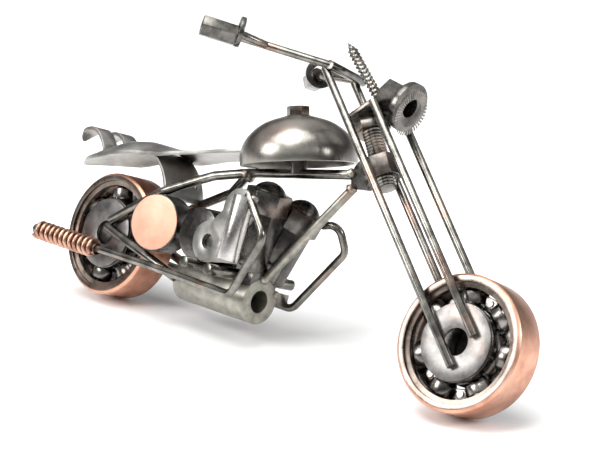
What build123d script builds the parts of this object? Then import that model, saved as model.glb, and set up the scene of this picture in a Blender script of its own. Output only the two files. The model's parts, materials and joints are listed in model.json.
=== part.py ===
from build123d import *
import math
import os

# Chopper motorcycle sculpture welded from workshop scrap. Millimetres.
# +X forwards, +Y to the rider's left, +Z up. Origin: the floor point under the rear axle.

# Overall sizes
wheelbase = 122.0
wheel_diameter = 32.0

# Wheels: deep-groove ball bearings
wheel_width = 10.0
wheel_bore = 12.0
tread_chamfer = 0.6
bore_chamfer = 0.4
ball_count = 7
ball_diameter = 5.953
outer_wall = 3.1
seal_step_depth = 0.9
seal_step_height = 1.2
race_clearance = 0.07
ball_circle_inset = 10.0
shoulder_drop = 1.85
cage_sheet = 0.5
cage_ball_clearance = 0.02
cage_band = 2.4
rivet_diameter = 0.9
rivet_head_diameter = 1.6
rivet_head_height = 0.35
washer_diameter = 18.0
washer_hole = 6.4
washer_thickness = 0.8
weld_sink = 0.12

# Steering head, measured back from the front axle and up from the rear axle
head_setback = 42.7
head_rise = 40.6
steer_rake = 37.5
steer_turn = 10.0
fork_rake = 45.6
running_clearance = 0.06

# Round rod
fork_rod = 2.0
frame_rod = 2.4
tube_rod = 2.3
exhaust_rod = 2.0
bar_rod = 2.0
crossbar_rod = 2.3
lever_rod = 2.0
peg_rod = 2.8
stay_bend = 12.0
exhaust_bend = 3.0
bar_bend = 4.0

# Fork, in distances up the fork and ahead of the line through the front axle
rear_leg_set = -2.9
front_leg_set = 5.0
rear_leg_top = 79.0
rear_leg_foot = 5.0
front_leg_top = 63.0
front_leg_foot = 1.6
plate_height = 63.6
plate_thickness = 1.0
crossbar_height = 78.4
crossbar_set = -1.1

# Steering bolt and the nut it turns in, measured along the bolt from the head point
bolt_thread = 5.0
bolt_head_flats = 8.0
bolt_head_low = 2.0
bolt_head_high = 5.6
bolt_length = 15.6
thread_pitch = 0.8
thread_depth = 0.35
nut_flats = 8.0
nut_height = 5.4
nut_drop = 5.5

# Headlight, lag screw
light_flats = 8.0
light_length = 7.6
light_flange = 12.1
light_flange_thickness = 1.6
light_mouth = 6.4
light_bore = 5.0
light_bore_depth = 6.0
light_pitch = 11.0
light_along = 60.3
light_ahead = 10.4
lag_diameter = 2.8
lag_root = 2.0
lag_pitch = 1.25
lag_threads = 13
lag_tip_along = 85.5
lag_tip_ahead = 2.45
lag_base_along = 63.9
lag_base_ahead = 4.35
lag_point = 3.0

# Handlebar: (distance back from the fork leg top, distance out, height over the leg top)
bar_knee = (14.4, 13.0, 1.0)
bar_tip = (23.0, 21.6, 0.6)
ring_along = 6.4
lever_start = (13.9, 13.6, 0.9)
lever_end = (19.8, 24.0, 1.4)
grip_flats = 4.8
grip_length = 8.8
grip_bore = 3.0
grip_bore_depth = 4.5
ring_inner = 4.1
ring_outer = 7.6
ring_thickness = 1.1
ring_gap = 0.8

# Frame, as (x, height over the rear axle) or (x, y, height over the rear axle)
spine_joint = (41.0, 25.0)
spine_mid = (58.1, 28.1)
head_spine = (-3.7, -9.36)
head_tube = (-2.5, -12.4)
tube_foot = (55.2, 0.1)
hub_side = wheel_width / 2 + washer_thickness + frame_rod / 2 - weld_sink
right_stay_route = ((32.0, 3.0, 22.0), (24.3, 5.0, 18.0), (18.9, 6.4, 14.9), (10.8, hub_side, 9.4), (2.4, hub_side, 3.6))
left_stay_route = ((32.4, 4.0, 18.8), (21.6, 6.0, 14.1), (17.3, hub_side, 12.3), (2.0, hub_side, 2.4))
strut_rear = (1.5, hub_side, 1.8)
strut_front = (31.0, 6.6, -5.2)
gusset_outline = (
    (-4.0, -9.4),
    (-3.3, -7.1),
    (-2.2, -5.6),
    (0.3, -6.8),
    (3.6, -10.6),
    (2.7, -12.1),
    (-2.8, -12.7),
)
gusset_thickness = 1.2

# Engine
crankcase_diameter = 11.4
crankcase_bore = 5.6
crankcase_front = 55.7
crankcase_length = 26.2
crankcase_drop = 5.0
cylinder_flats = 8.0
cylinder_length = 14.6
cylinder_spread = 4.4
cylinder_splay = 3.0
cylinder_turn = 13.0
right_cylinder_x = 52.8
right_cylinder_rise = 2.3
right_cylinder_lean = 6.9
left_cylinder_x = 51.4
left_cylinder_rise = 0.7
left_cylinder_lean = 18.7
cap_flats = 10.0
cap_hex = 5.4
cap_dome_diameter = 9.6
saddle_length = 5.6
saddle_width = 9.0
saddle_height = 4.0
drum_diameter = 13.2
drum_x = 38.6
drum_rise = 7.3
drum_left = 7.5
plate_face = 9.9
link_thickness = 1.3
link_lobe = 5.2
link_hole = 3.8
link_top = (51.7, 16.0)
link_low = (44.0, 6.3)
link_waist = 6.6
link_toe = ((43.4, 1.2), (57.1, 3.3), (48.6, 5.2))
side_bar_diameter = 5.4
side_bar_top = (55.6, 19.6)
side_bar_foot = (55.2, 3.6)
derby_x = 23.1
derby_rise = 6.8
derby_diameter = 14.6
derby_face = 11.0
derby_depth = 7.0
derby_edge = 0.5
derby_turn = 12.0
derby_bracket = (22.0, 36.0, 3.5)
derby_bracket_thickness = 1.6
peg_front_x = 50.3
peg_rear_x = 41.5
peg_rise = 0.1
peg_reach = 15.0

# Exhausts, as (x, y, height over the rear axle)
right_pipe_route = ((56.8, -14.1, 20.3), (65.6, -14.1, 11.5), (56.4, -11.2, -4.5), (25.0, -11.0, -4.0), (-19.6, -11.0, -4.3))
left_pipe_route = (
    (61.0, 9.6, 17.0),
    (65.6, 10.2, 18.4),
    (67.2, 13.4, 12.0),
    (56.3, 11.2, -5.2),
    (25.0, 11.0, -4.6),
    (4.7, 11.0, -4.4),
)
bracket_tube = 3.0
bracket_x = 53.5
bracket_drop = 3.6
bracket_end = 10.4
coil_wire = 1.2
coil_outer = 5.3
coil_pitch = 2.15
coil_turns = 12
coil_start = 4.6
coil_core = 3.0

# Seat, tail, tank
sheet = 1.0
seat_line = ((44.5, 31.6), (34.6, 29.4), (26.0, 27.6), (16.0, 26.0), (4.4, 26.2), (-2.0, 25.2), (-10.0, 22.0), (-21.8, 16.4))
seat_crown = ((44.5, 0.4), (34.0, 0.4), (26.0, 0.6), (19.0, 1.2), (15.0, 1.8), (11.0, 2.4), (7.5, 3.0), (4.0, 3.4), (1.0, 3.7), (-2.0, 3.8), (-5.0, 3.7), (-8.0, 3.4), (-11.5, 2.6), (-15.0, 1.6), (-18.5, 0.8), (-21.8, 0.2))
seat_plan = ((44.5, 5.6), (26.0, 6.1), (19.0, 7.4), (11.0, 7.6), (0.0, 8.6), (-8.0, 8.0), (-16.0, 4.9), (-21.8, 0.5))
leaf_line = ((10.5, 24.2), (14.6, 21.9), (18.6, 17.6), (20.1, 13.2))
leaf_width = 13.4
leaf_hole = 1.0
leaf_hole_y = 4.4
tab_line = ((-8.0, 21.4), (-10.4, 24.4), (-13.6, 26.0), (-17.0, 25.2), (-19.4, 22.4))
tab_width = 5.0
tab_offset = 4.2
tank_diameter = 29.2
tank_height = 12.2
tank_wall = 1.0
tank_pitch = 14.3
tank_roll = 7.7
tank_x = 57.0
tank_gap = 2.1
tank_flank = 1.6
dome_steps = 6
post_diameter = 4.0
filler_flats = 5.0
filler_height = 2.4

# Figures that follow from the sizes above
HEX = 6
wheel_radius = wheel_diameter / 2
ball_radius = ball_diameter / 2
ball_circle = wheel_diameter - ball_circle_inset
groove_radius = ball_radius + race_clearance
outer_shoulder = wheel_radius - outer_wall
inner_shoulder = ball_circle / 2 - shoulder_drop
axle_z = wheel_radius
half_width = wheel_width / 2
leg_y = half_width + washer_thickness + fork_rod / 2 - weld_sink
rake = math.radians(steer_rake)
turn = math.radians(steer_turn)
tilt = math.asin(math.sin(turn) * math.sin(rake))
head_x = wheelbase - head_setback
head_z = axle_z + head_rise
front_low = wheel_radius * math.cos(tilt) + (half_width - tread_chamfer) * math.sin(tilt)
side_share = math.sin(rake) * math.cos(rake) * (1 - math.cos(turn))
lift_share = math.cos(rake) ** 2 + math.cos(turn) * math.sin(rake) ** 2
front_z = head_z + (front_low - head_z + head_setback * side_share) / lift_share
head = Vector(head_x, 0, head_z)
steer_up = Vector(-math.sin(rake), 0, math.cos(rake))
steer_axis = Axis(head, steer_up)
rear_hub = Vector(0, 0, axle_z)
front_hub = Vector(wheelbase, 0, front_z)
fork_up = Vector(-math.sin(math.radians(fork_rake)), 0, math.cos(math.radians(fork_rake)))
fork_ahead = Vector(fork_up.Z, 0, -fork_up.X)
leftwards = Vector(0, 1, 0)
leg_top_x = (front_hub + fork_up * rear_leg_top + fork_ahead * rear_leg_set).X
leg_top_z = (front_hub + fork_up * rear_leg_top + fork_ahead * rear_leg_set).Z

os.makedirs("parts", exist_ok=True)


def rod(points, diameter, bend=None):
    """Sweep a round rod along the points, in the open part."""
    with BuildLine() as route:
        if bend is None:
            Polyline(*points)
        else:
            FilletPolyline(*points, radius=bend)
    with BuildSketch(Plane(origin=route.line @ 0, z_dir=route.line % 0)) as section:
        Circle(diameter / 2)
    sweep(section.sketch, path=route.line)


def hexagon(plane, flats, height, turned=0.0):
    """Raise a hexagonal bar from a plane, in the open part."""
    with BuildSketch(plane) as outline:
        RegularPolygon(radius=flats / 2, side_count=HEX, major_radius=False, rotation=turned)
    extrude(outline.sketch, amount=height)


def cut(*neighbours):
    """Trim the open part flush against the pieces it is welded to."""
    for neighbour in neighbours:
        add(neighbour.part, mode=Mode.SUBTRACT)


def raised(point, side=1):
    """Turn (x, y, height over the axle) into a point on one side of the frame."""
    return (point[0], side * point[1], axle_z + point[2])


def on_centre(point):
    return (point[0], 0, axle_z + point[1])


def fork_point(along, ahead, side):
    return front_hub + fork_up * along + fork_ahead * ahead + leftwards * side


def bar_point(point, side):
    return (leg_top_x - point[0], side * point[1], leg_top_z + point[2])


def steered(part):
    """Turn a piece of the front end to the rest position of the fork."""
    return part.rotate(steer_axis, steer_turn)


def outer_ring(hub):
    """Bearing outer ring with its ball groove and the two seal steps."""
    step = half_width - seal_step_depth
    seat = outer_shoulder + seal_step_height
    with BuildSketch(Plane(origin=hub, x_dir=(0, 1, 0), z_dir=(1, 0, 0))) as profile:
        with BuildLine():
            Polyline(
                (-half_width, seat),
                (-half_width, wheel_radius - tread_chamfer),
                (-half_width + tread_chamfer, wheel_radius),
                (half_width - tread_chamfer, wheel_radius),
                (half_width, wheel_radius - tread_chamfer),
                (half_width, seat),
                (step, seat),
                (step, outer_shoulder),
                (-step, outer_shoulder),
                (-step, seat),
                close=True,
            )
        make_face()
        with Locations((0, ball_circle / 2)):
            Circle(groove_radius, mode=Mode.SUBTRACT)
    revolve(profile.sketch, axis=Axis(hub, (0, 1, 0)))


def inner_ring(hub):
    """Bearing inner ring with its ball groove."""
    bore = wheel_bore / 2
    with BuildSketch(Plane(origin=hub, x_dir=(0, 1, 0), z_dir=(1, 0, 0))) as profile:
        with BuildLine():
            Polyline(
                (-half_width, bore + bore_chamfer),
                (-half_width + bore_chamfer, bore),
                (half_width - bore_chamfer, bore),
                (half_width, bore + bore_chamfer),
                (half_width, inner_shoulder),
                (-half_width, inner_shoulder),
                close=True,
            )
        make_face()
        with Locations((0, ball_circle / 2)):
            Circle(groove_radius, mode=Mode.SUBTRACT)
    revolve(profile.sketch, axis=Axis(hub, (0, 1, 0)))


def balls():
    with PolarLocations(ball_circle / 2, ball_count):
        Sphere(ball_radius)


def cage():
    """Ribbon cage: a flat band with a short sleeve around each ball."""
    pocket = ball_radius + cage_ball_clearance
    Cylinder((ball_circle + cage_band) / 2, cage_sheet * 2)
    Cylinder((ball_circle - cage_band) / 2, cage_sheet * 2, mode=Mode.SUBTRACT)
    with PolarLocations(ball_circle / 2, ball_count):
        Cylinder(pocket + cage_sheet, cage_band, rotation=(0, 90, 0))
    with PolarLocations(ball_circle / 2, ball_count):
        Cylinder(pocket, cage_band * 2, rotation=(0, 90, 0), mode=Mode.SUBTRACT)
    with PolarLocations(ball_circle / 2, ball_count, start_angle=180 / ball_count):
        Cylinder(rivet_diameter / 2, wheel_width, mode=Mode.SUBTRACT)


def rivets():
    with PolarLocations(ball_circle / 2, ball_count, start_angle=180 / ball_count):
        Cylinder(rivet_diameter / 2, cage_sheet * 2)
        for side in (-1, 1):
            with Locations((0, 0, side * (cage_sheet + rivet_head_height / 2))):
                Cylinder(rivet_head_diameter / 2, rivet_head_height)


def hub_washers():
    for side in (-1, 1):
        with Locations((0, 0, side * (half_width + washer_thickness / 2))):
            Cylinder(washer_diameter / 2, washer_thickness)
            Cylinder(washer_hole / 2, washer_thickness, mode=Mode.SUBTRACT)


def wheel_plane(hub):
    return Plane(origin=hub, x_dir=(1, 0, 0), z_dir=(0, -1, 0))


# ---------------------------------------------------------------- rear wheel
with BuildPart() as rear_outer_ring:
    outer_ring(rear_hub)
rear_outer_ring.part.label = "rear_outer_ring"
export_step(rear_outer_ring.part, "parts/rear_outer_ring.step")

with BuildPart() as rear_inner_ring:
    inner_ring(rear_hub)
rear_inner_ring.part.label = "rear_inner_ring"
export_step(rear_inner_ring.part, "parts/rear_inner_ring.step")

with BuildPart(wheel_plane(rear_hub)) as rear_balls:
    balls()
rear_balls.part.label = "rear_balls"
export_step(rear_balls.part, "parts/rear_balls.step")

with BuildPart(wheel_plane(rear_hub)) as rear_cage:
    cage()
rear_cage.part.label = "rear_cage"
export_step(rear_cage.part, "parts/rear_cage.step")

with BuildPart(wheel_plane(rear_hub)) as rear_cage_rivets:
    rivets()
rear_cage_rivets.part.label = "rear_cage_rivets"
export_step(rear_cage_rivets.part, "parts/rear_cage_rivets.step")

with BuildPart(wheel_plane(rear_hub)) as rear_hub_washers:
    hub_washers()
rear_hub_washers.part.label = "rear_hub_washers"
export_step(rear_hub_washers.part, "parts/rear_hub_washers.step")

# ---------------------------------------------------------------- front wheel
with BuildPart() as front_outer_ring:
    outer_ring(front_hub)
front_outer_ring.part = steered(front_outer_ring.part)
front_outer_ring.part.label = "front_outer_ring"
export_step(front_outer_ring.part, "parts/front_outer_ring.step")

with BuildPart() as front_inner_ring:
    inner_ring(front_hub)
front_inner_ring.part = steered(front_inner_ring.part)
front_inner_ring.part.label = "front_inner_ring"
export_step(front_inner_ring.part, "parts/front_inner_ring.step")

with BuildPart(wheel_plane(front_hub)) as front_balls:
    balls()
front_balls.part = steered(front_balls.part)
front_balls.part.label = "front_balls"
export_step(front_balls.part, "parts/front_balls.step")

with BuildPart(wheel_plane(front_hub)) as front_cage:
    cage()
front_cage.part = steered(front_cage.part)
front_cage.part.label = "front_cage"
export_step(front_cage.part, "parts/front_cage.step")

with BuildPart(wheel_plane(front_hub)) as front_cage_rivets:
    rivets()
front_cage_rivets.part = steered(front_cage_rivets.part)
front_cage_rivets.part.label = "front_cage_rivets"
export_step(front_cage_rivets.part, "parts/front_cage_rivets.step")

with BuildPart(wheel_plane(front_hub)) as front_hub_washers:
    hub_washers()

# ---------------------------------------------------------------- frame
nut_plane = Plane(origin=head - steer_up * nut_drop, x_dir=(0, 1, 0), z_dir=-steer_up)
with BuildPart() as steering_nut:
    hexagon(nut_plane, nut_flats, nut_height)
    with BuildSketch(nut_plane):
        Circle(bolt_thread / 2 + running_clearance)
    extrude(amount=nut_height, mode=Mode.SUBTRACT)
steering_nut.part.label = "steering_nut"
export_step(steering_nut.part, "parts/steering_nut.step")

with BuildPart() as neck_gusset:
    with BuildSketch(Plane.XZ):
        with BuildLine():
            Polyline(*[(head_x + dx, head_z + dz) for dx, dz in gusset_outline], close=True)
        make_face()
    extrude(amount=gusset_thickness / 2, both=True)
    cut(steering_nut)
neck_gusset.part.label = "neck_gusset"
export_step(neck_gusset.part, "parts/neck_gusset.step")

spine_front = (head_x + head_spine[0], 0, head_z + head_spine[1])
with BuildPart() as backbone:
    rod((spine_front, on_centre(spine_mid), on_centre(spine_joint)), frame_rod, stay_bend)
    cut(neck_gusset)
backbone.part.label = "backbone"
export_step(backbone.part, "parts/backbone.step")

with BuildPart() as right_stay:
    rod((on_centre(spine_joint), *[raised(p, -1) for p in right_stay_route]), frame_rod, stay_bend / 2)
    cut(backbone, rear_hub_washers)
right_stay.part.label = "right_stay"
export_step(right_stay.part, "parts/right_stay.step")

with BuildPart() as left_stay:
    rod((on_centre(spine_joint), *[raised(p) for p in left_stay_route]), frame_rod, stay_bend / 2)
    cut(backbone, right_stay, rear_hub_washers)
left_stay.part.label = "left_stay"
export_step(left_stay.part, "parts/left_stay.step")

crankcase_z = axle_z - crankcase_drop
crankcase_plane = Plane(origin=(crankcase_front, 0, crankcase_z), z_dir=(-1, 0, 0))
with BuildPart() as crankcase:
    with BuildSketch(crankcase_plane):
        Circle(crankcase_diameter / 2)
        Circle(crankcase_bore / 2, mode=Mode.SUBTRACT)
    extrude(amount=crankcase_length)
crankcase.part.label = "crankcase"
export_step(crankcase.part, "parts/crankcase.step")

with BuildPart() as right_lower_strut:
    rod((raised(strut_rear, -1), raised(strut_front, -1)), frame_rod)
    cut(rear_hub_washers, crankcase, right_stay)
right_lower_strut.part.label = "right_lower_strut"
export_step(right_lower_strut.part, "parts/right_lower_strut.step")

with BuildPart() as left_lower_strut:
    rod((raised(strut_rear), raised(strut_front)), frame_rod)
    cut(rear_hub_washers, crankcase, left_stay)
left_lower_strut.part.label = "left_lower_strut"
export_step(left_lower_strut.part, "parts/left_lower_strut.step")

tube_top = (head_x + head_tube[0], 0, head_z + head_tube[1])
with BuildPart() as down_tube:
    rod((tube_top, on_centre(tube_foot)), tube_rod)
    cut(neck_gusset, crankcase, backbone)
down_tube.part.label = "down_tube"
export_step(down_tube.part, "parts/down_tube.step")

# ---------------------------------------------------------------- engine


def leaning(x, rise, lean, side):
    """Base plane of a cylinder that leans forwards and splays outwards."""
    forward = math.radians(lean)
    outward = side * math.radians(cylinder_splay)
    up = Vector(math.sin(forward), math.sin(outward), math.cos(forward) * math.cos(outward))
    return Plane(origin=(x, side * cylinder_spread, axle_z + rise), x_dir=(0, 1, 0), z_dir=up)


def cap_nut(base):
    """Domed cap nut seated on the far end of a cylinder."""
    hexagon(base.offset(cylinder_length), cap_flats, cap_hex, cylinder_turn)
    with Locations(base.offset(cylinder_length + cap_hex)):
        Sphere(cap_dome_diameter / 2, arc_size1=0)


right_base = leaning(right_cylinder_x, right_cylinder_rise, right_cylinder_lean, -1)
left_base = leaning(left_cylinder_x, left_cylinder_rise, left_cylinder_lean, 1)

with BuildPart() as right_cylinder:
    hexagon(right_base, cylinder_flats, cylinder_length, cylinder_turn)
    cut(crankcase, down_tube)
right_cylinder.part.label = "right_cylinder"
export_step(right_cylinder.part, "parts/right_cylinder.step")

with BuildPart() as left_cylinder:
    hexagon(left_base, cylinder_flats, cylinder_length, cylinder_turn)
    cut(crankcase, down_tube, right_cylinder)
left_cylinder.part.label = "left_cylinder"
export_step(left_cylinder.part, "parts/left_cylinder.step")

with BuildPart() as right_cap_nut:
    cap_nut(right_base)
right_cap_nut.part.label = "right_cap_nut"
export_step(right_cap_nut.part, "parts/right_cap_nut.step")

with BuildPart() as left_cap_nut:
    cap_nut(left_base)
    cut(right_cap_nut, right_cylinder)
left_cap_nut.part.label = "left_cap_nut"
export_step(left_cap_nut.part, "parts/left_cap_nut.step")

with BuildPart() as foot_pegs:
    for peg_x in (peg_front_x, peg_rear_x):
        rod(((peg_x, -peg_reach, axle_z + peg_rise), (peg_x, peg_reach, axle_z + peg_rise)), peg_rod)
    cut(crankcase, right_cylinder, left_cylinder)
foot_pegs.part.label = "foot_pegs"
export_step(foot_pegs.part, "parts/foot_pegs.step")

with BuildPart() as engine_saddle:
    with BuildSketch(Plane((right_cylinder_x, 0, crankcase_z + crankcase_bore / 2))):
        Rectangle(saddle_length, saddle_width)
    extrude(amount=crankcase_diameter / 2 - crankcase_bore / 2 + saddle_height)
    cut(crankcase, right_cylinder, left_cylinder, foot_pegs, down_tube)
engine_saddle.part = engine_saddle.part.solids().sort_by(SortBy.VOLUME)[-1]
engine_saddle.part.label = "engine_saddle"
export_step(engine_saddle.part, "parts/engine_saddle.step")

drum_plane = Plane(origin=(drum_x, -plate_face, axle_z + drum_rise), z_dir=(0, 1, 0))
with BuildPart() as gearbox_drum:
    with BuildSketch(drum_plane):
        Circle(drum_diameter / 2)
    extrude(amount=plate_face + drum_left)
    cut(crankcase, foot_pegs)
gearbox_drum.part.label = "gearbox_drum"
export_step(gearbox_drum.part, "parts/gearbox_drum.step")

link_plane = Plane(origin=(0, -plate_face, 0), x_dir=(1, 0, 0), z_dir=(0, -1, 0))
lobes = (on_centre(link_top), on_centre(link_low))
with BuildPart() as chain_plate:
    with BuildSketch(link_plane):
        with BuildLine():
            Polyline(*[(x, axle_z + rise) for x, rise in link_toe], close=True)
        make_face()
        for lobe in lobes:
            with Locations((lobe[0], lobe[2])):
                Circle(link_lobe)
        run = Vector(link_top[0] - link_low[0], link_top[1] - link_low[1])
        middle = ((link_top[0] + link_low[0]) / 2, axle_z + (link_top[1] + link_low[1]) / 2)
        with Locations(Location(middle, (0, 0, math.degrees(math.atan2(run.Y, run.X))))):
            Rectangle(run.length, link_waist)
        for lobe in lobes:
            with Locations((lobe[0], lobe[2])):
                Circle(link_hole / 2, mode=Mode.SUBTRACT)
    extrude(amount=link_thickness)
    cut(right_cylinder, right_cap_nut, foot_pegs)
chain_plate.part.label = "chain_plate"
export_step(chain_plate.part, "parts/chain_plate.step")

bar_y = -(plate_face + link_thickness + side_bar_diameter / 2 - weld_sink)
with BuildPart() as side_bar:
    rod(
        (
            (side_bar_top[0], bar_y, axle_z + side_bar_top[1]),
            (side_bar_foot[0], bar_y, axle_z + side_bar_foot[1]),
        ),
        side_bar_diameter,
    )
    cut(chain_plate, right_cap_nut, right_cylinder, foot_pegs)
side_bar.part.label = "side_bar"
export_step(side_bar.part, "parts/side_bar.step")

derby_plane = Plane(
    origin=(derby_x, -derby_face, axle_z + derby_rise),
    z_dir=(-math.sin(math.radians(derby_turn)), math.cos(math.radians(derby_turn)), 0),
)
with BuildPart() as derby_cap:
    with BuildSketch(derby_plane):
        Circle(derby_diameter / 2)
    extrude(amount=derby_depth)
    rim = derby_cap.edges().filter_by(GeomType.CIRCLE)
    fillet(rim.sort_by_distance(derby_plane.origin)[0], radius=derby_edge)
    cut(right_stay, right_lower_strut, gearbox_drum)
derby_cap.part.label = "derby_cap"
export_step(derby_cap.part, "parts/derby_cap.step")

with BuildPart() as derby_bracket_bar:
    back = derby_depth - derby_face
    with BuildSketch(Plane(origin=(0, back, 0), x_dir=(1, 0, 0), z_dir=(0, -1, 0))):
        with Locations(((derby_bracket[0] + derby_bracket[1]) / 2, axle_z + derby_rise)):
            Rectangle(derby_bracket[1] - derby_bracket[0], derby_bracket[2])
    extrude(amount=-derby_bracket_thickness)
    cut(gearbox_drum, derby_cap)
derby_bracket_bar.part.label = "derby_bracket"
export_step(derby_bracket_bar.part, "parts/derby_bracket.step")

# ---------------------------------------------------------------- exhausts
with BuildPart() as right_exhaust:
    rod([raised(p) for p in right_pipe_route], exhaust_rod, exhaust_bend)
    cut(side_bar, right_cap_nut, foot_pegs)
right_exhaust.part.label = "right_exhaust"
export_step(right_exhaust.part, "parts/right_exhaust.step")

coil_length = coil_pitch * coil_turns
coil_end = raised(right_pipe_route[-1])
coil_front = Vector(coil_start, coil_end[1], coil_end[2])
with BuildPart() as muffler_core:
    with BuildSketch(Plane(origin=coil_front, z_dir=(-1, 0, 0))):
        Circle(coil_core / 2)
    extrude(amount=coil_length + coil_wire / 2)
    fillet(muffler_core.edges().sort_by(Axis.X)[0], radius=coil_core / 3)
    cut(right_exhaust)
muffler_core.part.label = "muffler_core"
export_step(muffler_core.part, "parts/muffler_core.step")

with BuildPart() as muffler_coil:
    for index in range(coil_turns):
        ring_centre = coil_front + Vector(-coil_pitch * (index + 1 / 2), 0, 0)
        with Locations(Plane(origin=ring_centre, z_dir=(1, 0, 0))):
            Torus((coil_outer - coil_wire) / 2, coil_wire / 2)
    cut(muffler_core)
muffler_coil.part.label = "muffler_coil"
export_step(muffler_coil.part, "parts/muffler_coil.step")

with BuildPart() as left_exhaust:
    rod([raised(p) for p in left_pipe_route], exhaust_rod, exhaust_bend)
    cut(left_cap_nut, left_cylinder, foot_pegs)
left_exhaust.part.label = "left_exhaust"
export_step(left_exhaust.part, "parts/left_exhaust.step")

with BuildPart() as pipe_bracket:
    with BuildSketch(Plane(origin=(bracket_x, 0, axle_z - bracket_drop), z_dir=(0, 1, 0))):
        Rectangle(bracket_tube, bracket_tube)
    extrude(amount=bracket_end)
    cut(crankcase, left_exhaust)
pipe_bracket.part = pipe_bracket.part.solids().sort_by(Axis.Y)[-1]
pipe_bracket.part.label = "pipe_bracket"
export_step(pipe_bracket.part, "parts/pipe_bracket.step")


# ---------------------------------------------------------------- seat, tail and tank
tank_outer = tank_diameter / 2
tank_inner = tank_outer - tank_wall


def dome_curve(reach, rise):
    """Quarter oval from the straight flank of the dome to its crown."""
    angles = [math.radians(90 * step / dome_steps) for step in range(dome_steps + 1)]
    return [(reach * math.cos(a), tank_flank + (rise - tank_flank) * math.sin(a)) for a in angles]


with BuildPart() as tank_dome:
    tank_plane = Plane(
        origin=(tank_x, 0, axle_z + spine_mid[1] + tank_gap),
        x_dir=(0, 1, 0),
        z_dir=(
            -math.sin(math.radians(tank_pitch)),
            -math.sin(math.radians(tank_roll)),
            math.cos(math.radians(tank_pitch)) * math.cos(math.radians(tank_roll)),
        ),
    )
    side_view = Plane(origin=tank_plane.origin, x_dir=tank_plane.y_dir, z_dir=tank_plane.x_dir)
    with BuildSketch(side_view):
        with BuildLine():
            Line((tank_inner, 0), (tank_outer, 0))
            Line((tank_outer, 0), (tank_outer, tank_flank))
            Spline(*dome_curve(tank_outer, tank_height), tangents=((0, 1), (-1, 0)))
            Line((0, tank_height), (0, tank_height - tank_wall))
            Spline(*dome_curve(tank_inner, tank_height - tank_wall), tangents=((0, 1), (-1, 0)))
            Line((tank_inner, tank_flank), (tank_inner, 0))
        make_face()
    revolve(axis=Axis(tank_plane.origin, tank_plane.z_dir))
tank_dome.part.label = "tank_dome"
export_step(tank_dome.part, "parts/tank_dome.step")

with BuildPart() as tank_post:
    with BuildSketch(tank_plane.offset(-tank_gap)):
        Circle(post_diameter / 2)
    extrude(amount=tank_gap + tank_height - tank_wall / 2)
    cut(backbone, tank_dome, right_cap_nut, left_cap_nut)
tank_post.part = tank_post.part.solids().sort_by(Axis.Z)[-1]
tank_post.part.label = "tank_post"
export_step(tank_post.part, "parts/tank_post.step")

with BuildPart() as filler_nut:
    hexagon(tank_plane.offset(tank_height - weld_sink * 2), filler_flats, filler_height)
    cut(tank_dome)
filler_nut.part.label = "filler_nut"
export_step(filler_nut.part, "parts/filler_nut.step")


def level(table, x):
    """Height or width at x, read along a list of (x, value) from front to back."""
    for (x_front, front), (x_back, back) in zip(table, table[1:]):
        if x >= x_back:
            return back + (front - back) * (x - x_back) / (x_front - x_back)
    return table[-1][1]


with BuildPart() as seat_sheet:
    for x, crown in seat_crown:
        half = level(seat_plan, x)
        top = axle_z + level(seat_line, x)
        with BuildSketch(Plane(origin=(x, 0, top), x_dir=(0, 1, 0), z_dir=(1, 0, 0))):
            with BuildLine():
                ThreePointArc((-half, -crown), (0, 0), (half, -crown))
                Line((half, -crown), (half, -crown - sheet))
                ThreePointArc((half, -crown - sheet), (0, -sheet), (-half, -crown - sheet))
                Line((-half, -crown - sheet), (-half, -crown))
            make_face()
    loft(ruled=True)
    cut(tank_dome, backbone)
seat_sheet.part = seat_sheet.part.solids().sort_by(SortBy.VOLUME)[-1]
seat_sheet.part.label = "seat_sheet"
export_step(seat_sheet.part, "parts/seat_sheet.step")

with BuildPart() as support_leaf:
    with BuildSketch(Plane.XZ):
        upper = [(x, axle_z + rise) for x, rise in leaf_line]
        lower = [(x - sheet, height) for x, height in upper]
        with BuildLine():
            Spline(*upper)
            Line(upper[-1], lower[-1])
            Spline(*lower)
            Line(lower[0], upper[0])
        make_face()
    extrude(amount=leaf_width / 2, both=True)
    with BuildSketch(Plane.YZ):
        with Locations((leaf_hole_y, axle_z + leaf_line[2][1])):
            Circle(leaf_hole / 2)
    extrude(amount=wheel_diameter, mode=Mode.SUBTRACT)
    cut(seat_sheet, right_stay, left_stay, derby_cap)
support_leaf.part = support_leaf.part.solids().sort_by(SortBy.VOLUME)[-1]
support_leaf.part.label = "support_leaf"
export_step(support_leaf.part, "parts/support_leaf.step")

tabs = []
for side in (-1, 1):
    with BuildPart() as tail_tab:
        with BuildSketch(Plane.XZ):
            upper = [(x, axle_z + rise) for x, rise in tab_line]
            lower = [(x, height - sheet) for x, height in upper]
            with BuildLine():
                Spline(*upper)
                Line(upper[-1], lower[-1])
                Spline(*lower)
                Line(lower[0], upper[0])
            make_face()
        extrude(amount=wheel_radius, both=True)
        with BuildSketch(Plane.XY):
            tip = tab_line[-1][0] + tab_width / 2
            with Locations(((tip + tab_line[0][0]) / 2, side * tab_offset)):
                Rectangle(tab_line[0][0] - tip, tab_width)
            with Locations((tip, side * tab_offset)):
                Circle(tab_width / 2)
        extrude(amount=wheel_diameter * 2, mode=Mode.INTERSECT)
        cut(seat_sheet)
    tail_tab.part = tail_tab.part.solids().sort_by(SortBy.VOLUME)[-1]
    tabs.append(tail_tab)
tail_tab_right, tail_tab_left = tabs
tail_tab_right.part.label = "tail_tab_right"
export_step(tail_tab_right.part, "parts/tail_tab_right.step")
tail_tab_left.part.label = "tail_tab_left"
export_step(tail_tab_left.part, "parts/tail_tab_left.step")

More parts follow.
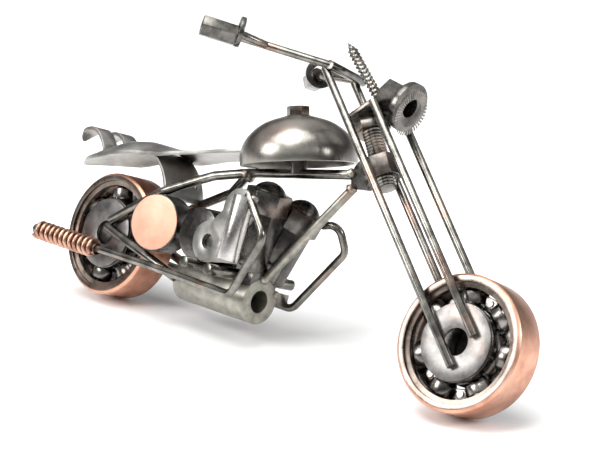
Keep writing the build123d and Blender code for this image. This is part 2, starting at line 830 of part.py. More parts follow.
# ---------------------------------------------------------------- front end, built straight, then turned
with BuildPart() as fork_plate:
    with BuildSketch(Plane(origin=fork_point(plate_height, 0, 0), x_dir=fork_ahead, z_dir=fork_up)):
        with Locations(((rear_leg_set + front_leg_set) / 2, 0)):
            Rectangle(front_leg_set - rear_leg_set, leg_y * 2)
    extrude(amount=plate_thickness)

legs = []
for side in (-1, 1):
    for low, high, ahead in (
        (-rear_leg_foot, rear_leg_top, rear_leg_set),
        (-front_leg_foot, front_leg_top + plate_thickness, front_leg_set),
    ):
        with BuildPart() as leg:
            rod((fork_point(low, ahead, side * leg_y), fork_point(high, ahead, side * leg_y)), fork_rod)
            cut(front_hub_washers)
        legs.append(leg)
for leg in legs:
    with fork_plate:
        add(leg.part, mode=Mode.SUBTRACT)

with BuildPart() as steering_bolt:
    bolt_plane = Plane(origin=head + steer_up * bolt_head_low, x_dir=(0, 1, 0), z_dir=steer_up)
    hexagon(bolt_plane, bolt_head_flats, bolt_head_high - bolt_head_low)
    cut(fork_plate)
    with BuildSketch(Plane(origin=bolt_plane.origin, x_dir=bolt_plane.x_dir, z_dir=bolt_plane.y_dir)):
        outer = bolt_thread / 2
        root = outer - thread_depth
        depth = 0.0
        outline = [(0, 0), (outer, 0)]
        while depth + thread_pitch < bolt_length:
            outline.append((root, depth + thread_pitch / 2))
            depth = depth + thread_pitch
            outline.append((outer, depth))
        outline.append((0, depth))
        with BuildLine():
            Polyline(*outline, close=True)
        make_face()
    revolve(axis=Axis(bolt_plane.origin, bolt_plane.z_dir))
steering_bolt.part = steering_bolt.part.solids().sort_by(SortBy.VOLUME)[-1]

light_centre = fork_point(light_along, light_ahead, 0)
light_dir = Vector(math.cos(math.radians(light_pitch)), 0, -math.sin(math.radians(light_pitch)))
light_face = Plane(origin=light_centre, x_dir=(0, 1, 0), z_dir=light_dir)
with BuildPart() as headlight_nut:
    hexagon(light_face.offset(-light_length), light_flats, light_length)
    with BuildSketch(light_face.offset(-light_flange_thickness)):
        Circle(light_flange / 2)
    extrude(amount=light_flange_thickness)
    with BuildSketch(light_face):
        Circle(light_bore / 2)
    extrude(amount=-light_bore_depth, mode=Mode.SUBTRACT)
    cut(fork_plate, steering_bolt, *legs)
headlight_nut.part = headlight_nut.part.solids().sort_by(SortBy.VOLUME)[-1]

lag_tip = fork_point(lag_tip_along, lag_tip_ahead, 0)
lag_base = fork_point(lag_base_along, lag_base_ahead, 0)
with BuildPart() as lag_screw:
    lag_run = (lag_tip - lag_base).length
    lag_plane = Plane(origin=lag_base, x_dir=(0, 1, 0), z_dir=lag_tip - lag_base)
    with BuildSketch(Plane(origin=lag_base, x_dir=lag_plane.x_dir, z_dir=-lag_plane.y_dir)):
        start = lag_run - lag_point - lag_pitch * lag_threads
        outline = [(0, 0), (lag_root / 2, 0), (lag_root / 2, start)]
        for index in range(lag_threads):
            outline.append((lag_diameter / 2, start + lag_pitch * (index + 1 / 2)))
            outline.append((lag_root / 2, start + lag_pitch * (index + 1)))
        outline.append((0, lag_run))
        with BuildLine():
            Polyline(*outline, close=True)
        make_face()
    revolve(axis=Axis(lag_base, lag_tip - lag_base))
    cut(fork_plate, headlight_nut)
lag_screw.part = lag_screw.part.solids().sort_by(SortBy.VOLUME)[-1]

with BuildPart() as crossbar:
    rod(
        (
            fork_point(crossbar_height, crossbar_set, -leg_y - fork_rod / 2),
            fork_point(crossbar_height, crossbar_set, leg_y + fork_rod / 2),
        ),
        crossbar_rod,
    )
    cut(lag_screw, *legs)

front_pieces = {
    "front_hub_washers": front_hub_washers,
    "right_rear_fork_leg": legs[0],
    "right_front_fork_leg": legs[1],
    "left_rear_fork_leg": legs[2],
    "left_front_fork_leg": legs[3],
    "fork_plate": fork_plate,
    "steering_bolt": steering_bolt,
    "headlight_nut": headlight_nut,
    "lag_screw": lag_screw,
    "crossbar": crossbar,
}

ring_pair = []
for side, hand in ((-1, "right"), (1, "left")):
    tip = Vector(*bar_point(bar_tip, side))
    knee = Vector(*bar_point(bar_knee, side))
    outward = (tip - knee).normalized()
    ring_point = knee + outward * ring_along
    with BuildPart() as bar:
        root_point = fork_point(crossbar_height, crossbar_set, side * leg_y)
        rod((root_point, knee, tip), bar_rod, bar_bend)
        cut(crossbar, *legs)
    bar.part = bar.part.solids().sort_by(SortBy.VOLUME)[-1]
    grip_plane = Plane(origin=ring_point + outward * ring_thickness, z_dir=outward)
    with BuildPart() as grip:
        hexagon(grip_plane, grip_flats, grip_length)
        with BuildSketch(grip_plane.offset(grip_length)):
            Circle(grip_bore / 2)
        extrude(amount=-grip_bore_depth, mode=Mode.SUBTRACT)
        cut(bar)
    ring_plane = Plane(origin=ring_point, x_dir=outward.cross(Vector(0, 0, 1)), z_dir=outward)
    ring_drop = ring_inner / 2 - bar_rod / 2 + weld_sink
    with BuildPart() as ring_washer:
        with BuildSketch(ring_plane):
            with Locations((0, -ring_drop)):
                Circle(ring_outer / 2)
                Circle(ring_inner / 2, mode=Mode.SUBTRACT)
            with Locations((0, -ring_drop - ring_outer / 2)):
                Rectangle(ring_gap, ring_outer / 2, mode=Mode.SUBTRACT)
        extrude(amount=ring_thickness)
        cut(bar, grip)
    with BuildPart() as lever:
        rod((bar_point(lever_start, side), bar_point(lever_end, side)), lever_rod)
        cut(bar, grip, ring_washer)
    lever.part = lever.part.solids().sort_by(SortBy.VOLUME)[-1]
    front_pieces[hand + "_bar"] = bar
    front_pieces[hand + "_grip"] = grip
    ring_pair.append(ring_washer.part)
    front_pieces[hand + "_lever"] = lever

with BuildPart() as ring_washers:
    add(ring_pair)
front_pieces["ring_washers"] = ring_washers

for name, piece in front_pieces.items():
    piece.part = steered(piece.part)
    piece.part.label = name
    export_step(piece.part, f"parts/{name}.step")
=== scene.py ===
# %% [markdown]
# # A chopper welded from workshop scrap
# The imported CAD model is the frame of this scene. Every piece here stands where the CAD says, in metres,
# and rides on a CAD body, so the front end can steer and both bearing wheels can spin.

# %% Load the frame
import json
import math

import bmesh
import bpy
from mathutils import Matrix, Vector, noise


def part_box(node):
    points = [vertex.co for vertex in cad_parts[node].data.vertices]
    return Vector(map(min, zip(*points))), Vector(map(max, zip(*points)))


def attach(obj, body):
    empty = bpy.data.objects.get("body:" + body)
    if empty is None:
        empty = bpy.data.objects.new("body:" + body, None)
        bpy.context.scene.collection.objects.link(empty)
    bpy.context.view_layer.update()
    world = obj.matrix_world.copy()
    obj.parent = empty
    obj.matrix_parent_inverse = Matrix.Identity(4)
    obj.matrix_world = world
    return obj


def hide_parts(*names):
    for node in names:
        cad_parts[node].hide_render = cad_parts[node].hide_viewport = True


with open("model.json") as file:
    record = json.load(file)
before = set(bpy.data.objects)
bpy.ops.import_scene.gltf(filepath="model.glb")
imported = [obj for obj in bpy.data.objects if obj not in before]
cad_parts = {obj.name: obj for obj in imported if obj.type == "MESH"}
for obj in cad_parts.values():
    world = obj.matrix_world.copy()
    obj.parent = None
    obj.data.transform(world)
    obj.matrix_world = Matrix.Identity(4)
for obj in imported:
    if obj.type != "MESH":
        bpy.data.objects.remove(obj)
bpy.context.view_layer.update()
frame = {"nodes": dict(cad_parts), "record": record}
MM = 0.001
NODES = frame["nodes"]
RECORD = frame["record"]
BODY = {node: body for body, nodes in RECORD["behaviour"]["bodies"].items() for node in nodes}
print("nodes:", len(NODES), "bodies:", len(set(BODY.values())))

# %% [markdown]
# ## Camera
# A long lens, a little above the table. The model leans on its unseen prop in real life, so the camera is
# rolled instead and the model stays upright in its own frame.

# %% Camera
right = Vector((0.6884, 0.6799, 0.2528))
up = Vector((-0.2029, -0.1541, 0.9670))
back = Vector((0.6964, -0.7169, 0.0318))
camera_place = Vector((442.08, -390.71, 49.43)) * MM
camera_data = bpy.data.cameras.new("camera")
camera_data.sensor_width = 36.0
camera_data.lens = 133.98
camera_data.clip_start = 0.01
camera = bpy.data.objects.new("camera", camera_data)
bpy.context.collection.objects.link(camera)
turned = Matrix((right, up, back)).transposed().to_4x4()
camera.matrix_world = Matrix.Translation(camera_place) @ turned
bpy.context.scene.camera = camera

# %% [markdown]
# ## Table and light
# The table is one big sheet whose slope gives the model its lean. It is clear from below, so that it never
# hides the model. A pale sky with a dark band near the horizon gives the plated steel something to reflect.

# %% Table
lean_up = Vector((0.0, -0.348, 0.937)).normalized()
TABLE_DROP = -1.55 * MM
table_mesh = bmesh.new()
bmesh.ops.create_grid(table_mesh, x_segments=1, y_segments=1, size=3.0)
slope = lean_up.to_track_quat("Z", "Y").to_matrix().to_4x4()
dropped = Matrix.Translation(lean_up * TABLE_DROP)
bmesh.ops.transform(table_mesh, matrix=dropped @ slope, verts=table_mesh.verts)
table_data = bpy.data.meshes.new("table")
table_mesh.to_mesh(table_data)
table_mesh.free()
table = bpy.data.objects.new("table", table_data)
bpy.context.collection.objects.link(table)

paper = bpy.data.materials.new("white_paper")
paper.use_nodes = True
tree = paper.node_tree
shader = tree.nodes["Principled BSDF"]
shader.inputs["Base Color"].default_value = (0.90, 0.90, 0.90, 1)
shader.inputs["Roughness"].default_value = 0.9
geometry = tree.nodes.new("ShaderNodeNewGeometry")
clear = tree.nodes.new("ShaderNodeBsdfTransparent")
pick = tree.nodes.new("ShaderNodeMixShader")
tree.links.new(geometry.outputs["Backfacing"], pick.inputs["Fac"])
tree.links.new(shader.outputs["BSDF"], pick.inputs[1])
tree.links.new(clear.outputs["BSDF"], pick.inputs[2])
tree.links.new(pick.outputs["Shader"], tree.nodes["Material Output"].inputs["Surface"])
table_data.materials.append(paper)

# %% [markdown]
# The sky is read by height over the sloping table, not over the model's own floor, so its bands stay level
# with the table. The dark band sits low, where the sides of the rods look.

# %% Sky
world = bpy.data.worlds.new("studio")
bpy.context.scene.world = world
world.use_nodes = True
tree = world.node_tree
direction = tree.nodes.new("ShaderNodeTexCoord")
height = tree.nodes.new("ShaderNodeVectorMath")
height.operation = "DOT_PRODUCT"
height.inputs[1].default_value = lean_up
bands = tree.nodes.new("ShaderNodeValToRGB")
stops = bands.color_ramp.elements
stops[0].position = 0.0
stops[0].color = (0.75, 0.75, 0.75, 1)
stops[1].position = 1.0
stops[1].color = (1.0, 1.0, 1.0, 1)
for place, grey in ((0.05, 0.55), (0.16, 0.10), (0.34, 0.14), (0.50, 0.85)):
    stop = stops.new(place)
    stop.color = (grey, grey, grey, 1)
tree.links.new(direction.outputs["Generated"], height.inputs[0])
tree.links.new(height.outputs["Value"], bands.inputs["Fac"])
tree.links.new(bands.outputs["Color"], tree.nodes["Background"].inputs["Color"])
tree.nodes["Background"].inputs["Strength"].default_value = 0.85

# %% [markdown]
# Three square lamps: a broad one overhead for the soft shadow, and one from each side to edge the metal.

# %% Lamps
aim = Vector((0.055, 0.0, 0.03))
across = lean_up.cross(back).normalized()
front = across.cross(lean_up).normalized()
for name, side, ahead, high, size, power in (
    ("soft_top", -0.10, 0.05, 0.60, 0.50, 5.0),
    ("window_left", -0.50, 0.18, 0.32, 0.28, 2.6),
    ("window_right", 0.46, 0.30, 0.30, 0.16, 1.3),
):
    lamp_data = bpy.data.lights.new(name, "AREA")
    lamp_data.size = size
    lamp_data.energy = power
    lamp = bpy.data.objects.new(name, lamp_data)
    bpy.context.collection.objects.link(lamp)
    lamp.location = aim + across * side + front * ahead + lean_up * high
    lamp.rotation_euler = (lamp.location - aim).to_track_quat("Z", "Y").to_euler()
bpy.context.scene.view_settings.view_transform = "Standard"
print("lamps placed around", tuple(round(v, 3) for v in aim))

# %% [markdown]
# ## The plating as node groups
# The whole model was plated dark, then rubbed, so the steel shows cloudy patches, fine scratches along the
# metal and a warm copper blush where the rubbing went through. Two groups make that once for every material.


# %% Group: cloudy plating
def socket(group, name, kind, way, value=None):
    made = group.interface.new_socket(name=name, in_out=way, socket_type=kind)
    if value is not None:
        made.default_value = value
    return made


def new_group(name):
    group = bpy.data.node_groups.new(name, "ShaderNodeTree")
    start = group.nodes.new("NodeGroupInput")
    end = group.nodes.new("NodeGroupOutput")
    return group, start, end


plating, start, end = new_group("cloudy plating")
socket(plating, "Vector", "NodeSocketVector", "INPUT")
socket(plating, "Deep", "NodeSocketColor", "INPUT", (0.1, 0.1, 0.1, 1))
socket(plating, "Rubbed", "NodeSocketColor", "INPUT", (0.4, 0.4, 0.4, 1))
socket(plating, "Blush", "NodeSocketColor", "INPUT", (0.5, 0.25, 0.17, 1))
socket(plating, "Blush Amount", "NodeSocketFloat", "INPUT", 0.2)
socket(plating, "Scale", "NodeSocketFloat", "INPUT", 250.0)
socket(plating, "Roughness", "NodeSocketFloat", "INPUT", 0.3)
socket(plating, "Color", "NodeSocketColor", "OUTPUT")
socket(plating, "Roughness", "NodeSocketFloat", "OUTPUT")
cloud = plating.nodes.new("ShaderNodeTexNoise")
cloud.inputs["Detail"].default_value = 6
cloud.inputs["Roughness"].default_value = 0.62
spread = plating.nodes.new("ShaderNodeMapRange")
spread.inputs["From Min"].default_value = 0.36
spread.inputs["From Max"].default_value = 0.66
patch = plating.nodes.new("ShaderNodeTexNoise")
patch.inputs["Detail"].default_value = 3
patch_scale = plating.nodes.new("ShaderNodeMath")
patch_scale.operation = "MULTIPLY"
patch_scale.inputs[1].default_value = 0.38
patch_mask = plating.nodes.new("ShaderNodeMapRange")
patch_mask.inputs["From Min"].default_value = 0.54
patch_mask.inputs["From Max"].default_value = 0.70
blush_share = plating.nodes.new("ShaderNodeMath")
blush_share.operation = "MULTIPLY"
steel_mix = plating.nodes.new("ShaderNodeMix")
steel_mix.data_type = "RGBA"
blush_mix = plating.nodes.new("ShaderNodeMix")
blush_mix.data_type = "RGBA"
rough_span = plating.nodes.new("ShaderNodeMapRange")
rough_span.inputs["To Min"].default_value = -0.07
rough_span.inputs["To Max"].default_value = 0.12
rough_sum = plating.nodes.new("ShaderNodeMath")
rough_sum.operation = "ADD"
link = plating.links.new
link(start.outputs["Vector"], cloud.inputs["Vector"])
link(start.outputs["Scale"], cloud.inputs["Scale"])
link(start.outputs["Vector"], patch.inputs["Vector"])
link(start.outputs["Scale"], patch_scale.inputs[0])
link(patch_scale.outputs[0], patch.inputs["Scale"])
link(cloud.outputs["Fac"], spread.inputs["Value"])
link(patch.outputs["Fac"], patch_mask.inputs["Value"])
link(patch_mask.outputs["Result"], blush_share.inputs[0])
link(start.outputs["Blush Amount"], blush_share.inputs[1])
link(spread.outputs["Result"], steel_mix.inputs["Factor"])
link(start.outputs["Deep"], steel_mix.inputs["A"])
link(start.outputs["Rubbed"], steel_mix.inputs["B"])
link(blush_share.outputs[0], blush_mix.inputs["Factor"])
link(steel_mix.outputs["Result"], blush_mix.inputs["A"])
link(start.outputs["Blush"], blush_mix.inputs["B"])
link(blush_mix.outputs["Result"], end.inputs["Color"])
link(cloud.outputs["Fac"], rough_span.inputs["Value"])
link(rough_span.outputs["Result"], rough_sum.inputs[0])
link(start.outputs["Roughness"], rough_sum.inputs[1])
link(rough_sum.outputs[0], end.inputs["Roughness"])

# %% [markdown]
# The grain is one noise squeezed along an axis. Each finish says which way its metal was rubbed.

# %% Group: brushed grain
grain, start, end = new_group("brushed grain")
socket(grain, "Vector", "NodeSocketVector", "INPUT")
socket(grain, "Stretch", "NodeSocketVector", "INPUT", (1.0, 1.0, 1.0))
socket(grain, "Scale", "NodeSocketFloat", "INPUT", 1500.0)
socket(grain, "Height", "NodeSocketFloat", "OUTPUT")
stretch = grain.nodes.new("ShaderNodeVectorMath")
stretch.operation = "MULTIPLY"
streak = grain.nodes.new("ShaderNodeTexNoise")
streak.inputs["Detail"].default_value = 4
streak.inputs["Roughness"].default_value = 0.7
link = grain.links.new
link(start.outputs["Vector"], stretch.inputs[0])
link(start.outputs["Stretch"], stretch.inputs[1])
link(stretch.outputs["Vector"], streak.inputs["Vector"])
link(start.outputs["Scale"], streak.inputs["Scale"])
link(streak.outputs["Fac"], end.inputs["Height"])
print("groups:", plating.name, "and", grain.name)

# %% [markdown]
# ## Finishes
# Each finish is one Principled metal with its own tones: near-black gunmetal on the rods and nuts, a greyer
# satin on cut sheet and tube, brushed silver on the tank, and bright or antique copper.


# %% Finish maker
def finish(
    name, deep, rubbed, blush, amount, rough, scale=260, stretch=(1, 1, 1), grain_scale=900, bump=0.25
):
    material = bpy.data.materials.new(name)
    material.use_nodes = True
    tree = material.node_tree
    metal = tree.nodes["Principled BSDF"]
    metal.inputs["Metallic"].default_value = 1.0
    place = tree.nodes.new("ShaderNodeTexCoord")
    cloud = tree.nodes.new("ShaderNodeGroup")
    cloud.node_tree = plating
    for key, value in (("Deep", deep), ("Rubbed", rubbed), ("Blush", blush)):
        cloud.inputs[key].default_value = (*value, 1)
    cloud.inputs["Blush Amount"].default_value = amount
    cloud.inputs["Scale"].default_value = scale
    cloud.inputs["Roughness"].default_value = rough
    lines = tree.nodes.new("ShaderNodeGroup")
    lines.node_tree = grain
    lines.inputs["Stretch"].default_value = stretch
    lines.inputs["Scale"].default_value = grain_scale
    relief = tree.nodes.new("ShaderNodeBump")
    relief.inputs["Strength"].default_value = bump
    relief.inputs["Distance"].default_value = 0.04 * MM
    tree.links.new(place.outputs["Object"], cloud.inputs["Vector"])
    tree.links.new(place.outputs["Object"], lines.inputs["Vector"])
    tree.links.new(cloud.outputs["Color"], metal.inputs["Base Color"])
    tree.links.new(cloud.outputs["Roughness"], metal.inputs["Roughness"])
    tree.links.new(lines.outputs["Height"], relief.inputs["Height"])
    tree.links.new(relief.outputs["Normal"], metal.inputs["Normal"])
    return material


COPPER_BLUSH = (0.52, 0.26, 0.17)
RUST = (0.20, 0.09, 0.05)
gunmetal = finish("gunmetal", (0.10, 0.095, 0.085), (0.27, 0.26, 0.235), COPPER_BLUSH, 0.22, 0.22)
dark_nut = finish("dark_nut", (0.055, 0.052, 0.048), (0.17, 0.163, 0.15), COPPER_BLUSH, 0.12, 0.24)
satin = finish("satin_sheet", (0.26, 0.255, 0.24), (0.42, 0.41, 0.385), COPPER_BLUSH, 0.15, 0.34, 180)
tube = finish("worn_tube", (0.20, 0.19, 0.165), (0.36, 0.345, 0.30), RUST, 0.30, 0.40, 330, bump=0.5)
washer = finish("hub_washer", (0.13, 0.125, 0.12), (0.26, 0.245, 0.235), COPPER_BLUSH, 0.15, 0.34, 300)
race = finish("race_steel", (0.10, 0.095, 0.09), (0.30, 0.28, 0.26), COPPER_BLUSH, 0.15, 0.22, 300)
ring_face = finish("ring_face", (0.13, 0.105, 0.09), (0.30, 0.245, 0.21), COPPER_BLUSH, 0.35, 0.26, 220)
bright = finish("bright_bar", (0.40, 0.39, 0.375), (0.60, 0.585, 0.56), COPPER_BLUSH, 0.12, 0.24, 200)
ball_steel = finish(
    "ball_steel", (0.20, 0.195, 0.185), (0.42, 0.41, 0.39), COPPER_BLUSH, 0.15, 0.12, 200, bump=0.05
)
copper = finish(
    "brushed_copper", (0.42, 0.20, 0.13), (0.68, 0.37, 0.26), (0.80, 0.50, 0.38), 0.5, 0.33, 160,
    stretch=(0.25, 3.0, 0.25), grain_scale=700, bump=0.5,
)
cap_copper = finish(
    "derby_copper", (0.48, 0.25, 0.175), (0.62, 0.35, 0.26), (0.70, 0.44, 0.34), 0.5, 0.46, 150,
    stretch=(0.6, 1.0, 2.0), grain_scale=800, bump=0.35,
)
coil_copper = finish(
    "coil_copper", (0.26, 0.14, 0.10), (0.62, 0.36, 0.26), (0.75, 0.48, 0.38), 0.5, 0.30, 420
)
tank_steel = finish(
    "tank_plating", (0.17, 0.16, 0.145), (0.36, 0.345, 0.315), COPPER_BLUSH, 0.30, 0.27, 90,
    stretch=(1.0, 1.0, 0.12), grain_scale=1500, bump=0.6,
)
bead_steel = finish("weld_bead", (0.20, 0.19, 0.17), (0.48, 0.45, 0.40), RUST, 0.5, 0.38, 500, bump=0.8)
print("finishes made:", len(bpy.data.materials))

# %% [markdown]
# ## Pieces that keep their CAD shape
# A CAD mesh is loose triangles with knife-sharp edges. A merged copy gets its sharp edges eased with a
# small bevel and smooth shading, so that each rod, nut and sheet catches a line of light along its edges.

# %% Eased copies
SHARP = math.radians(38)


def add_piece(name, shape, material, body, nodes=()):
    data = bpy.data.meshes.new(name)
    shape.to_mesh(data)
    shape.free()
    data.materials.append(material)
    for polygon in data.polygons:
        polygon.use_smooth = True
    data.set_sharp_from_angle(angle=SHARP)
    piece = bpy.data.objects.new(name, data)
    bpy.context.collection.objects.link(piece)
    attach(piece, body)
    if nodes:
        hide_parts(*nodes)
    return piece


def merged(node):
    shape = bmesh.new()
    shape.from_mesh(NODES[node].data)
    bmesh.ops.remove_doubles(shape, verts=shape.verts, dist=0.002 * MM)
    return shape


def eased(node, material, ease=0.1 * MM):
    """Copy a CAD node, ease its sharp edges and give it a finish."""
    shape = merged(node)
    bmesh.ops.dissolve_limit(shape, angle_limit=math.radians(1.0), verts=shape.verts, edges=shape.edges)
    sharp = [e for e in shape.edges if len(e.link_faces) == 2 and e.calc_face_angle(0) > SHARP]
    if ease and sharp:
        bmesh.ops.bevel(
            shape, geom=sharp, offset=ease, offset_type="OFFSET", segments=2, profile=0.5,
            affect="EDGES", clamp_overlap=True, material=-1,
        )
    bmesh.ops.triangulate(shape, faces=[f for f in shape.faces if len(f.verts) > 4])
    return add_piece(node + "_finished", shape, material, BODY[node], (node,))


FINISHES = {
    gunmetal: (
        "backbone right_stay left_stay right_lower_strut left_lower_strut right_exhaust left_exhaust "
        "foot_pegs "
        "right_rear_fork_leg right_front_fork_leg left_rear_fork_leg left_front_fork_leg crossbar right_bar "
        "left_bar right_lever left_lever muffler_core pipe_bracket tank_post"
    ),
    dark_nut: (
        "steering_nut right_cap_nut left_cap_nut right_cylinder left_cylinder filler_nut right_grip "
        "left_grip "
        "gearbox_drum engine_saddle derby_bracket neck_gusset fork_plate ring_washers"
    ),
    satin: "chain_plate seat_sheet support_leaf tail_tab_right tail_tab_left",
    bright: "side_bar",
    tube: "crankcase down_tube",
    washer: "rear_hub_washers front_hub_washers",
    race: "rear_inner_ring front_inner_ring rear_cage front_cage rear_cage_rivets front_cage_rivets",
    ball_steel: "rear_balls front_balls",
    copper: "rear_outer_ring front_outer_ring",
    cap_copper: "derby_cap",
    tank_steel: "tank_dome",
}
for material, names in FINISHES.items():
    for node in names.split():
        if node.endswith(("balls", "rivets", "post", "core")):
            eased(node, material, ease=0)
        elif node.endswith(("cage", "dome", "sheet", "leaf", "washers", "ring")):
            eased(node, material, ease=0.06 * MM)
        else:
            eased(node, material)
print("eased pieces:", sum(len(names.split()) for names in FINISHES.values()))

# %% [markdown]
# ## Two finishes on one piece
# Rubbing only reached what sticks out: the tread of each outer ring and the flat face of the derby cap are
# bare copper, while the faces and sides around them kept the dark plating.


# %% Copper where the rubbing reached
def two_tone(node, dark, is_bright):
    piece = bpy.data.objects[node + "_finished"]
    piece.data.materials.append(dark)
    for polygon in piece.data.polygons:
        polygon.material_index = 0 if is_bright(polygon) else 1
    return piece


def wheel_axis(node):
    """Centre of a wheel and the direction of its axle, read from its ring."""
    joint = next(j for j in RECORD["behaviour"]["joints"] if j["child"] == BODY[node])
    return Vector(joint["pos_m"]), Vector(joint["axis"]).normalized()


def is_tread(node, radius):
    centre, axle = wheel_axis(node)

    def test(polygon):
        arm = polygon.center - centre
        arm -= axle * arm.dot(axle)
        return arm.length > radius

    return test


TREAD_FROM = 15.35 * MM
FLAT_ENOUGH = 0.93
for node in ("rear_outer_ring", "front_outer_ring"):
    two_tone(node, ring_face, is_tread(node, TREAD_FROM))
cap_polygons = bpy.data.objects["derby_cap_finished"].data.polygons
cap_face = max(cap_polygons, key=lambda p: p.area).normal.copy()
two_tone("derby_cap", dark_nut, lambda polygon: polygon.normal.dot(cap_face) > FLAT_ENOUGH)
print("copper kept on two rings and one cap face")

# %% [markdown]
# ## Threads as real helices
# In the CAD each thread is a row of ring grooves. Here one tooth profile climbs around the shank in small
# steps, so the crests run as one continuous helix. Only the lag screw is made this way. The steering bolt
# keeps the ring grooves of the CAD, and the headlight nut's bore is plain.


# %% Helix builder
def frame_of(axis):
    side = axis.orthogonal().normalized()
    return side, axis.cross(side).normalized()


def helix_skin(shape, base, axis, length, pitch, radius_at, steps=40, per_turn=4):
    """Rows of vertices around an axis. radius_at(along, phase) is the surface; phase runs 0..1 per pitch."""
    side, other = frame_of(axis)
    rows = int(length / pitch * per_turn * 2) + 1
    grid = []
    for row in range(rows + 1):
        ring = []
        along = length * row / rows
        for step in range(steps):
            angle = 2 * math.pi * step / steps
            phase = (along / pitch + step / steps) % 1.0
            reach = radius_at(along, phase)
            outward = side * math.cos(angle) + other * math.sin(angle)
            ring.append(shape.verts.new(base + axis * along + outward * reach))
        grid.append(ring)
    for low, high in zip(grid, grid[1:]):
        for step in range(steps):
            after = (step + 1) % steps
            shape.faces.new((low[step], low[after], high[after], high[step]))
    return grid


def close_end(shape, ring, centre):
    tip = shape.verts.new(centre)
    for step in range(len(ring)):
        shape.faces.new((ring[step], ring[(step + 1) % len(ring)], tip))


def threaded_rod(name, body, node, base, axis, length, pitch, radius_at, material):
    shape = bmesh.new()
    grid = helix_skin(shape, base, axis, length, pitch, radius_at)
    close_end(shape, grid[0], base)
    close_end(shape, grid[-1], base + axis * length)
    bmesh.ops.recalc_face_normals(shape, faces=shape.faces)
    return add_piece(name, shape, material, body, (node,))


def long_axis(node):
    """Middle, direction and half length of a straight CAD piece, from its vertices."""
    points = [v.co.copy() for v in NODES[node].data.vertices]
    middle = sum(points, Vector()) / len(points)
    far = max(points, key=lambda p: (p - middle).length)
    axis = (far - middle).normalized()
    for _ in range(6):
        pull = Vector()
        for p in points:
            arm = p - middle
            pull += arm * arm.dot(axis)
        axis = pull.normalized()
    ends = [(p - middle).dot(axis) for p in points]
    return middle, axis, min(ends), max(ends)


print("helix builder ready")

# %% [markdown]
# The screw's place and length are read from its CAD node. Its pointed end is found by looking which end is
# thin, and the thread tapers away there.

# %% Lag screw with a running thread
middle, axis, low, high = long_axis("lag_screw")
END_ZONE, BLUNT = 1.0 * MM, 0.9 * MM
end_points = [v.co for v in NODES["lag_screw"].data.vertices if (v.co - middle).dot(axis) > high - END_ZONE]
end_radius = max(((p - middle) - axis * (p - middle).dot(axis)).length for p in end_points)
if end_radius > BLUNT:
    axis, low, high = -axis, -high, -low
foot = middle + axis * low
screw_length = high - low
ROOT, CREST, POINT = 1.0 * MM, 1.37 * MM, 3.0 * MM


def screw_radius(along, phase):
    taper = min(1.0, max(0.03, (screw_length - along) / POINT))
    tooth = max(0.0, 1.0 - abs(phase - 0.5) * 4)
    threaded = 1.0 if 1.5 * MM < along < screw_length - 0.3 * MM else 0.0
    return (ROOT + (CREST - ROOT) * tooth * threaded) * taper


threaded_rod(
    "lag_screw_threaded", "fork", "lag_screw", foot, axis, screw_length, 1.25 * MM, screw_radius, gunmetal
)
print("lag screw:", round(screw_length / MM, 1), "mm long")

# %% [markdown]
# ## The muffler spring
# The CAD has a row of rings; the real thing is one wire wound round a core, so it is swept along a helix.

# %% Wound spring
middle, axis, low, high = long_axis("muffler_coil")
side, other = frame_of(axis)
WIRE, COIL, TURNS, AROUND = 0.6 * MM, 2.03 * MM, 12, 10
spring = bmesh.new()
rings = []
count = TURNS * 28
for step in range(count + 1):
    angle = 2 * math.pi * TURNS * step / count
    along = (low + WIRE) + (high - low - 2 * WIRE) * step / count
    out = side * math.cos(angle) + other * math.sin(angle)
    centre = middle + axis * along + out * COIL
    ring = []
    for k in range(AROUND):
        turn = 2 * math.pi * k / AROUND
        ring.append(spring.verts.new(centre + (out * math.cos(turn) + axis * math.sin(turn)) * WIRE))
    rings.append(ring)
for near, far in zip(rings, rings[1:]):
    for k in range(AROUND):
        spring.faces.new((near[k], near[(k + 1) % AROUND], far[(k + 1) % AROUND], far[k]))
spring.faces.new(rings[0])
spring.faces.new(rings[-1])
bmesh.ops.recalc_face_normals(spring, faces=spring.faces)
add_piece("muffler_spring", spring, coil_copper, "frame", ("muffler_coil",))
print("spring turns:", TURNS)

# %% [markdown]
# ## Headlight: a serrated flange nut
# Low ridges run outwards over the flange, a little steeper on one side, as on a lock nut.

# %% Serrations and the two other fork fasteners
eased("headlight_nut", dark_nut)
eased("steering_bolt", gunmetal, ease=0.04 * MM)
face_points = [v.co.copy() for v in NODES["headlight_nut"].data.vertices]
areas = {}
for p in NODES["headlight_nut"].data.polygons:
    key = tuple(round(v, 2) for v in p.normal)
    if key[0] > 0.7:
        areas[key] = areas.get(key, 0.0) + p.area
ahead = Vector(max(areas, key=areas.get)).normalized()
front_level = max(p.dot(ahead) for p in face_points)
rim_points = [p for p in face_points if p.dot(ahead) > front_level - 0.05 * MM]
side, other = frame_of(ahead)
spans = [(min(p.dot(way) for p in rim_points), max(p.dot(way) for p in rim_points)) for way in (side, other)]
light_centre = ahead * front_level
light_centre += side * sum(spans[0]) / 2 + other * sum(spans[1]) / 2
rim_radius = (spans[0][1] - spans[0][0]) / 2
print("headlight face radius:", round(rim_radius / MM, 2), "mm")
ridges = bmesh.new()
RIDGES = 40
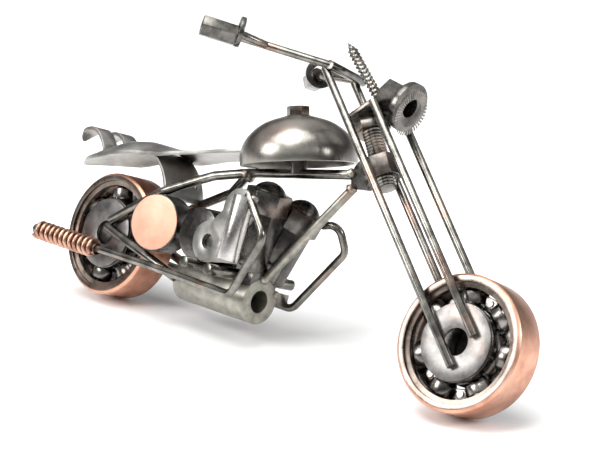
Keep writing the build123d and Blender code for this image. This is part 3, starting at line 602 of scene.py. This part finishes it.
for index in range(RIDGES):
    angle = 2 * math.pi * index / RIDGES
    after = angle + 2 * math.pi / RIDGES * 0.72
    middle_angle = angle + 2 * math.pi / RIDGES * 0.55
    corners = []
    for turn, lift in ((angle, -0.05 * MM), (middle_angle, 0.0), (after, -0.05 * MM)):
        out = side * math.cos(turn) + other * math.sin(turn)
        for reach in (3.5 * MM, rim_radius - 0.35 * MM):
            corners.append(ridges.verts.new(light_centre + out * reach + ahead * lift))
    a0, a1, b0, b1, c0, c1 = corners
    for loop in ((a0, b0, b1, a1), (b0, c0, c1, b1), (a0, c0, b0), (a1, b1, c1), (a0, a1, c1, c0)):
        ridges.faces.new(loop)
bmesh.ops.recalc_face_normals(ridges, faces=ridges.faces)
bmesh.ops.transform(ridges, matrix=Matrix.Translation(ahead * 0.04 * MM), verts=ridges.verts)
add_piece("headlight_serrations", ridges, race, "fork")

# %% [markdown]
# ## Weld beads
# A bead is a squashed ball with a rippled skin. Nine of the frame's joints get one, each set where two CAD
# pieces come closest, so it follows the CAD and not a list of places.


# %% Beads where pieces meet
def meeting(one, two):
    """Middle of the region where two CAD nodes come closest."""
    first = [v.co for v in NODES[one].data.vertices]
    box_low, box_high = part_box(two)
    margin = 0.3 * MM
    near = [
        p for p in first
        if all(box_low[k] - margin < p[k] < box_high[k] + margin for k in range(3))
    ]
    second = [v.co for v in NODES[two].data.vertices][::3]
    best = min(((p - q).length, tuple((p + q) / 2)) for p in near[::3] for q in second)
    return Vector(best[1])


def bead(shape, place, size, seed):
    made = bmesh.ops.create_icosphere(shape, subdivisions=3, radius=size)
    for vert in made["verts"]:
        ripple = noise.noise(vert.co / (0.55 * size) + Vector((seed, 0, 0)))
        vert.co *= 1 + 0.22 * ripple
        vert.co.z *= 0.85
        vert.co += place


BEADS = (
    ("backbone", "right_stay", 1.35), ("backbone", "left_stay", 1.35), ("down_tube", "crankcase", 1.3),
    ("down_tube", "neck_gusset", 1.25), ("backbone", "neck_gusset", 1.3),
    ("right_lower_strut", "crankcase", 1.2), ("left_lower_strut", "crankcase", 1.2),
    ("right_exhaust", "side_bar", 1.25), ("pipe_bracket", "crankcase", 1.1),
)
beads = bmesh.new()
placed = 0
for index, (one, two, size) in enumerate(BEADS):
    if one in NODES and two in NODES:
        try:
            bead(beads, meeting(one, two), size * MM, index * 7.3)
            placed += 1
        except ValueError:
            print("no meeting of", one, "and", two)
add_piece("frame_weld_beads", beads, bead_steel, "frame")
print("beads placed:", placed)
